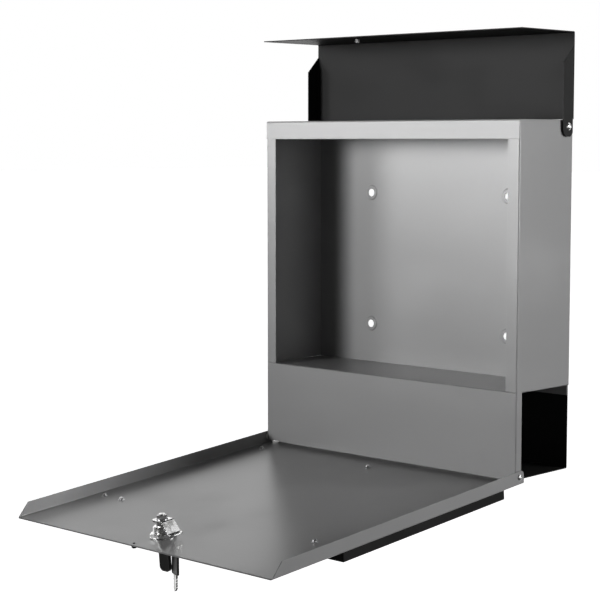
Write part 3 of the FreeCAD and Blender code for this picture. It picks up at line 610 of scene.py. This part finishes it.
def turned(profile, steps=48):
    """A solid of revolution about Z from (radius, height) points in millimetres."""
    shape = bmesh.new()
    corners = [shape.verts.new((r, 0, z)) for r, z in profile]
    edges = [shape.edges.new(pair) for pair in zip(corners, corners[1:])]
    bmesh.ops.spin(shape, geom=corners + edges, cent=(0, 0, 0), axis=(0, 0, 1),
                   angle=math.tau, steps=steps, use_merge=True)
    bmesh.ops.remove_doubles(shape, verts=shape.verts, dist=1e-4)
    bmesh.ops.recalc_face_normals(shape, faces=shape.faces)
    return shape


def ring_profile(inner, outer, low, high, chamfer):
    """The closed outline of a washer-like ring with broken edges."""
    return [
        (inner, low + chamfer), (inner + chamfer, low), (outer - chamfer, low),
        (outer, low + chamfer), (outer, high - chamfer), (outer - chamfer, high),
        (inner + chamfer, high), (inner, high - chamfer), (inner, low + chamfer),
    ]


def placed(shape, matrix):
    """Scale millimetres to metres and set the shape down."""
    bmesh.ops.transform(shape, verts=shape.verts, matrix=matrix @ Matrix.Scale(MM, 4))
    return shape


def frame_matrix(origin, z_axis, x_axis=(1, 0, 0)):
    """A placement with Z along an axis and X as near as possible to another."""
    z = Vector(z_axis).normalized()
    x = Vector(x_axis)
    x = (x - z * x.dot(z)).normalized()
    matrix = Matrix((x, z.cross(x), z)).transposed().to_4x4()
    matrix.translation = Vector(origin)
    return matrix


def merged(shapes):
    """Several bmeshes as one."""
    total = bmesh.new()
    for shape in shapes:
        mesh = bpy.data.meshes.new("scratch")
        shape.to_mesh(mesh)
        shape.free()
        total.from_mesh(mesh)
        bpy.data.meshes.remove(mesh)
    return total


LOCK = frame_matrix(joints["lock_turn"]["pos_m"], joints["lock_turn"]["axis"])
TO_LOCK = LOCK.inverted()


def lock_span(node):
    """A node's lowest and highest point along the lock's axis, and its reach from it, in mm."""
    points = [TO_LOCK @ v.co / MM for v in frame["nodes"][node].data.vertices]
    heights = [p.z for p in points]
    reach = max(math.hypot(p.x, p.y) for p in points)
    return min(heights), max(heights), reach


print("lock axis at", [round(c, 4) for c in LOCK.translation])

# %% [markdown]
# The lock body is a die-cast barrel with a thread cut along it, held by a nut behind the door.
# Turning a toothed profile about the axis gives the thread; at this size rings and a true helix
# look alike, and rings keep the mesh closed.  The bezel on the outside is turned with it.

# %% Lock body
BARREL_RADIUS = 9.5                 # this cell and the next in millimetres
PLUG_PLAY = 0.08


def thread_profile(major, depth, start, end, pitch):
    """Points that zigzag between a thread's root and crest."""
    points, height = [], start
    while height + pitch <= end:
        points += [(major - depth, height), (major, height + pitch * 0.4),
                   (major, height + pitch * 0.6)]
        height += pitch
    return points + [(major - depth, height), (major - depth, end)]


def lock_body():
    """Barrel, bore and rounded bezel."""
    low, high, bezel = lock_span("lock_housing")
    bore = lock_span("lock_plug")[2] + PLUG_PLAY
    outline = [(bore, low), (BARREL_RADIUS - 1.1, low)]
    outline += thread_profile(BARREL_RADIUS, 0.55, low + 0.4, -1.2, 1.0)
    outline += [(BARREL_RADIUS, -1.0), (BARREL_RADIUS, 0.0), (bezel, 0.0), (bezel, high - 1.2)]
    outline += [(bezel - 0.35, high - 0.4), (bezel - 1.2, high), (bore + 1.6, high)]
    outline += [(bore + 1.2, high - 0.5), (bore + 0.3, high - 0.5), (bore, high - 0.8), (bore, low)]
    return turned(outline, 64)


finish_piece("lock_body_threaded", placed(lock_body(), LOCK), "lock_housing")

# %% [markdown]
# A nut starts as a turned bar with both ends chamfered; milling six flats off it leaves the curved
# chamfer lines that every real nut has.  So the mesh is turned, then cut by six planes.

# %% Lock nut, cam nut and washers
LOCK_BORE = 9.55                    # round the barrel
STUD_BORE = 3.05                    # round the plug's threaded end


def hex_nut(flats, bore, low, high):
    """Turn a chamfered ring, then mill six flats."""
    corner = flats / math.sqrt(3)
    drop = (corner - flats / 2) * 0.6
    outline = [(bore, low + 0.3), (bore + 0.3, low), (flats / 2 - 0.1, low), (corner, low + drop),
               (corner, high - drop), (flats / 2 - 0.1, high), (bore + 0.3, high),
               (bore, high - 0.3), (bore, low + 0.3)]
    shape = turned(outline, 72)
    for side in range(6):
        turn = math.radians(60 * side + 30)
        normal = Vector((math.cos(turn), math.sin(turn), 0))
        geometry = shape.verts[:] + shape.edges[:] + shape.faces[:]
        cut = bmesh.ops.bisect_plane(
            shape, geom=geometry, plane_co=normal * flats / 2, plane_no=normal, clear_outer=True)
        rim = [e for e in cut["geom_cut"] if isinstance(e, bmesh.types.BMEdge) and e.is_boundary]
        bmesh.ops.holes_fill(shape, edges=rim)
    bmesh.ops.recalc_face_normals(shape, faces=shape.faces)
    return shape


def washer(inner, outer, low, high):
    """A stamped washer with broken edges."""
    return turned(ring_profile(inner, outer, low, high, min(0.18, (high - low) / 3)))


low, high, reach = lock_span("lock_nut")
nut = hex_nut(reach * math.sqrt(3), LOCK_BORE, low, high)
finish_piece("lock_nut_hex", placed(nut, LOCK), "lock_nut")
low, high, reach = lock_span("lock_washer")
finish_piece("lock_washer_round", placed(washer(LOCK_BORE, reach, low, high), LOCK), "lock_washer")
low, high, reach = lock_span("cam_nut")
nut = hex_nut(reach * math.sqrt(3), STUD_BORE, low, high)
finish_piece("cam_nut_hex", placed(nut, LOCK), "cam_nut")
low, high, reach = lock_span("cam_washer")
finish_piece("cam_washer_round", placed(washer(STUD_BORE, reach, low, high), LOCK), "cam_washer")

# %% [markdown]
# The plug is a turned cylinder with a keyway, a square for the cam and a threaded end.  The
# design's shape already has the keyway and wafer slots, so it keeps that mesh with soft edges, and
# a threaded sleeve is turned round the end that stands out of the nut.

# %% Plug
PLUG_EDGE = 0.00012                 # metres
soft_edged("lock_plug_smooth", "lock_plug", PLUG_EDGE)
stud_low, stud_high = lock_span("lock_plug")[0], lock_span("cam_nut")[0]
stud = [(0.0, stud_low), (2.3, stud_low), (2.7, stud_low + 0.3)]
stud += thread_profile(3.0, 0.25, stud_low + 0.3, stud_high, 0.3)
stud += [(0.0, stud_high)]
finish_piece("plug_thread", placed(turned(stud, 32), LOCK), "lock_plug", replace=False)

# %% [markdown]
# Each hinge is a blind rivet through the flange.  Its head is a low dome with the snapped-off end
# of the mandrel deep in its middle, its shank is plain, and its closed end bulges inside the
# wall.  Turned round the hinge axis, one on each side, these make the pair.

# %% Hinge rivets
WALL_INNER = 176.0                  # millimetres from the middle plane
WALL_SEAT = 179.65                  # where the head lies on the flange


def blind_rivet(shank, head, tail, low, high):
    """Closed end, shank, domed head and mandrel, heights measured from the middle plane."""
    dome = high - WALL_SEAT
    outline = [(0, low), (tail - 0.7, low), (tail - 0.2, low + 0.15), (tail, low + 0.6),
               (tail, WALL_INNER - 0.2), (tail - 0.15, WALL_INNER), (shank, WALL_INNER),
               (shank, WALL_SEAT), (head - 0.15, WALL_SEAT), (head, WALL_SEAT + 0.12)]
    hollow = shank * 0.55
    for step in range(1, 9):
        part = step / 8
        radius = head + (hollow + 0.25 - head) * part
        outline.append((radius, WALL_SEAT + 0.12 + (dome - 0.14) * math.sin(part * math.pi / 2)))
    outline += [(hollow + 0.08, high - 0.08), (hollow, high - 0.3), (hollow, high - 0.95),
                (hollow * 0.8, high - 1.0), (hollow * 0.7, high - 0.7),
                (hollow * 0.35, high - 0.55), (0, high - 0.6)]
    return turned(outline, 48)


def node_spans(node):
    """Smallest and largest distance of a node from the middle plane, in millimetres."""
    distances = [abs(v.co.x) / MM for v in frame["nodes"][node].data.vertices]
    return min(distances), max(distances)


def rivet_pair(name, node, joint, shank, head, tail):
    """The right and the left rivet of a hinge."""
    low, high = node_spans(node)
    _, y, z = joints[joint]["pos_m"]
    shapes = []
    for side in (1, -1):
        place = frame_matrix((0, y, z), (side, 0, 0), (0, 1, 0))
        shapes.append(placed(blind_rivet(shank, head, tail, low, high), place))
    finish_piece(name, merged(shapes), node)


rivet_pair("door_rivets_domed", "door_hinge_rivets", "door_hinge", 1.6, 3.3, 1.7)
rivet_pair("lid_rivets_domed", "lid_hinge_rivets", "lid_hinge", 2.0, 4.0, 3.0)

# %% [markdown]
# The raised cover is held by short studs that stand through the door.  A stud has fine grooves
# near its end so that a spring nut can bite.  The studs are found in the design as separate
# clusters of points, measured across the lock's axis, because they are all parallel to it.

# %% Cover studs
STUD_RADIUS = 2.0                   # millimetres
STUD_SHOULDER = 3.0
CLUSTER_REACH = 12                  # points nearer than this belong to one stud or nut


def clusters(node):
    """Centre and height range of each separate piece of a node, seen along the lock's axis."""
    found = []
    for vertex in frame["nodes"][node].data.vertices:
        point = TO_LOCK @ vertex.co / MM
        for group in found:
            if math.hypot(point.x - group[0].x, point.y - group[0].y) < CLUSTER_REACH:
                group.append(point)
                break
        else:
            found.append([point])
    spans = []
    for group in found:
        xs, ys, zs = zip(*group)
        centre = ((min(xs) + max(xs)) / 2, (min(ys) + max(ys)) / 2)
        spans.append((centre, min(zs), max(zs)))
    return spans


def at_each(node, make):
    """One placed shape for each separate piece of a node."""
    shapes = []
    for centre, low, high in clusters(node):
        place = LOCK @ Matrix.Translation((centre[0] * MM, centre[1] * MM, 0))
        shapes.append(placed(make(low, high), place))
    print(f"{node}: {len(shapes)} places")
    return shapes


def stud_shape(low, high):
    """Grooved end, plain shank and shoulder under the cover."""
    outline = [(0, low), (1.3, low), (1.75, low + 0.3)]
    outline += thread_profile(STUD_RADIUS, 0.2, low + 0.3, -1.0, 0.4)
    outline += [(STUD_RADIUS, -0.9), (STUD_RADIUS, 0.0), (STUD_SHOULDER - 0.2, 0.0),
                (STUD_SHOULDER, 0.2), (STUD_SHOULDER, high), (0, high)]
    return turned(outline, 32)


finish_piece("cover_studs_grooved", merged(at_each("cover_studs", stud_shape)), "cover_studs")

# %% [markdown]
# A spring nut is a stamped washer whose middle is slit into teeth that slope up against the stud.
# The rim is turned; each tooth is a short arc of a sloping ring, spun part of the way and closed.

# %% Spring nuts
NUT_RADIUS = 3.6                    # millimetres
TOOTH_COUNT = 6
TOOTH_ARC = math.radians(46)


def spring_nut(low, high):
    """Flat rim with six sloping teeth; high is the side on the door."""
    rim = turned(ring_profile(NUT_RADIUS - 0.9, NUT_RADIUS, high - 0.35, high, 0.08))
    teeth = []
    for tooth in range(TOOTH_COUNT):
        shape = bmesh.new()
        outline = [(NUT_RADIUS - 0.8, high - 0.02), (NUT_RADIUS - 0.8, high - 0.32),
                   (STUD_RADIUS + 0.06, low), (STUD_RADIUS + 0.06, low + 0.26)]
        corners = [shape.verts.new((r, 0, z)) for r, z in outline]
        face = shape.faces.new(corners)
        start = Matrix.Rotation(math.tau * tooth / TOOTH_COUNT, 4, "Z")
        bmesh.ops.transform(shape, verts=shape.verts, matrix=start)
        bmesh.ops.spin(shape, geom=[face], cent=(0, 0, 0), axis=(0, 0, 1),
                       angle=TOOTH_ARC, steps=6, use_duplicate=False)
        bmesh.ops.holes_fill(shape, edges=[e for e in shape.edges if e.is_boundary])
        bmesh.ops.recalc_face_normals(shape, faces=shape.faces)
        teeth.append(shape)
    return merged([rim] + teeth)


nuts = merged(at_each("cover_push_nuts", spring_nut))
finish_piece("spring_nuts_toothed", nuts, "cover_push_nuts")

# %% [markdown]
# A key head is moulded over the blade.  Its edges are well rounded for the thumb and its two
# faces are sunk a little, which leaves a rim round the edge and round the ring's hole.  Insetting
# the flat faces of the design's shape makes that rim follow both outlines by itself.

# %% Key heads
HEAD_RIM = 0.0011                   # metres
HEAD_SLOPE = 0.00015
HEAD_SUNK = 0.0003


def own_axes(shape):
    """Thickness, length and width directions of a flat shape."""
    largest = max(shape.faces, key=lambda f: f.calc_area())
    thick = largest.normal.copy()
    edge = max(largest.edges, key=lambda e: e.calc_length())
    along = (edge.verts[1].co - edge.verts[0].co).normalized()
    return thick, along, thick.cross(along)


def sunk_faces(shape, direction):
    """Sink the flat faces that look along a direction, leaving a rim."""
    faces = [f for f in shape.faces if f.normal.dot(direction) > 0.999]
    for width, depth in ((HEAD_RIM, 0), (HEAD_SLOPE, -HEAD_SUNK)):
        bmesh.ops.inset_region(
            shape, faces=faces, thickness=width, depth=depth, use_even_offset=True)


def key_head(name, node, edge):
    """Rounded head with sunk faces."""
    shape = joined_copy(node)
    thick, _, _ = own_axes(shape)
    for direction in (thick, -thick):
        sunk_faces(shape, direction)
    rounded_edges(finish_piece(name, shape, node), edge, 3, math.radians(60))


key_head("key_head_moulded", "key_head", 0.00035)
key_head("spare_head_moulded", "spare_key_head", 0.0003)

# %% [markdown]
# A blade is stamped flat, milled with a groove and cut along both edges for the wafers.  Slicing
# the blade across and pulling the middle of each slice inwards gives the cuts; a long strip of
# each flat face is then sunk for the groove.

# %% Key blades
CUT_DEPTHS = (0.7, 1.2, 0.5, 0.9)   # millimetres
CUT_PITCH = 2.6
CUT_HALF = 0.9
FIRST_CUT = 0.0048                  # metres from the tip
GROOVE_LOW = -0.0002                # metres from the blade's middle
GROOVE_HIGH = 0.0009
GROOVE_SLOPE = 0.00012
GROOVE_DEPTH = 0.00035


def key_blade(name, node, head_node):
    """Blade with edge cuts and a groove, its tip away from the head."""
    shape = joined_copy(node)
    thick, along, wide = own_axes(shape)
    centre = sum((v.co for v in shape.verts), Vector()) / len(shape.verts)
    low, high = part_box(head_node)
    if along.dot(centre - (low + high) / 2) < 0:
        along, wide = -along, -wide
    tip = max((v.co - centre).dot(along) for v in shape.verts)
    half = max((v.co - centre).dot(wide) for v in shape.verts)
    for number, depth in enumerate(CUT_DEPTHS):
        middle = tip - FIRST_CUT - number * CUT_PITCH * MM
        for shift in (-CUT_HALF, 0, CUT_HALF):
            slice_at(shape, centre + along * (middle + shift * MM), along)
        for side, cut in ((1, depth), (-1, CUT_DEPTHS[-1 - number])):
            for vertex in shape.verts:
                place = vertex.co - centre
                at_cut = abs(place.dot(along) - middle) < ON_PLANE
                if at_cut and place.dot(wide) * side > half - ON_PLANE:
                    vertex.co -= wide * side * cut * MM
    for border in (GROOVE_HIGH, GROOVE_LOW):
        slice_at(shape, centre + wide * border, wide)
    for direction in (thick, -thick):
        strip = [f for f in shape.faces if f.normal.dot(direction) > 0.99
                 and GROOVE_LOW < (f.calc_center_median() - centre).dot(wide) < GROOVE_HIGH]
        bmesh.ops.inset_region(shape, faces=strip, thickness=GROOVE_SLOPE, depth=-GROOVE_DEPTH)
    finish_piece(name, shape, node)


key_blade("key_blade_cut", "key_blade", "key_head")
key_blade("spare_blade_cut", "spare_key_blade", "spare_key_head")

# %% [markdown]
# A split ring is one length of wire wound twice round and hardened, so the keys are threaded
# between its coils.  Spinning a small round section twice about the ring's axis while it climbs
# by one wire gives exactly that.

# %% Key ring
WIRE_WIDTH = 1.25                   # times its thickness
COIL_GAP = 1.02                     # climb of one coil, times the wire's thickness
RING_TURNS = 2 * 0.985


def split_ring(name, node):
    """Two coils inside the design's ring."""
    points = [v.co for v in frame["nodes"][node].data.vertices]
    low = Vector(tuple(min(p[k] for p in points) for k in range(3)))
    high = Vector(tuple(max(p[k] for p in points) for k in range(3)))
    centre = (low + high) / 2
    first = max((p - centre for p in points), key=lambda v: v.length)
    axis = max((first.cross(p - centre) for p in points), key=lambda v: v.length).normalized()
    outer = first.length / MM
    wire = max(abs((p - centre).dot(axis)) for p in points) / MM
    thin = wire * 0.47
    steps = 144
    climb = 2 * thin / steps * COIL_GAP
    shape = bmesh.new()
    section = bmesh.ops.create_circle(shape, segments=12, radius=thin, cap_ends=True)["verts"]
    bmesh.ops.transform(shape, verts=section, matrix=Matrix.Rotation(math.pi / 2, 4, "X"))
    bmesh.ops.scale(shape, verts=section, vec=(WIRE_WIDTH, 1, 1))
    start = (outer - thin * WIRE_WIDTH, 0, -thin * COIL_GAP)
    bmesh.ops.translate(shape, verts=section, vec=start)
    shape.faces.ensure_lookup_table()
    face = shape.faces[0]
    bmesh.ops.spin(shape, geom=[face], cent=(0, 0, 0), axis=(0, 0, 1), dvec=(0, 0, climb),
                   angle=math.tau * RING_TURNS, steps=steps)
    bmesh.ops.holes_fill(shape, edges=[e for e in shape.edges if e.is_boundary])
    bmesh.ops.recalc_face_normals(shape, faces=shape.faces)
    finish_piece(name, placed(shape, frame_matrix(centre, axis, first)), node)


split_ring("key_ring_split", "key_ring")

# %% [markdown]
# The stops are little moulded buttons.  The clear one softens the lid where it lands on the door,
# and the rubber one sits at the door's free edge.  Each has a round edge and a small dimple from
# its mould, made by insetting its flat top.

# %% Buffers
DIMPLE_RIM = 0.0004                 # metres
DIMPLE_SLOPE = 0.0003
DIMPLE_DEPTH = 0.00025


def button(name, node):
    """The design's button with a dimple in its flat end."""
    shape = joined_copy(node)
    flats = [f for f in sorted(shape.faces, key=lambda f: f.calc_area(), reverse=True)
             if len(f.verts) > 8]
    centre = sum((v.co for v in shape.verts), Vector()) / len(shape.verts)
    tops = [f for f in flats if (f.calc_center_median() - centre).dot(f.normal) > 0]
    if tops:
        top = max(tops, key=lambda f: (f.calc_center_median() - centre).length * f.calc_area())
        bmesh.ops.inset_region(shape, faces=[top], thickness=DIMPLE_RIM, depth=0)
        bmesh.ops.inset_region(shape, faces=[top], thickness=DIMPLE_SLOPE, depth=-DIMPLE_DEPTH)
    finish_piece(name, shape, node)


button("lid_button", "lid_buffer")
button("door_button", "door_buffer")
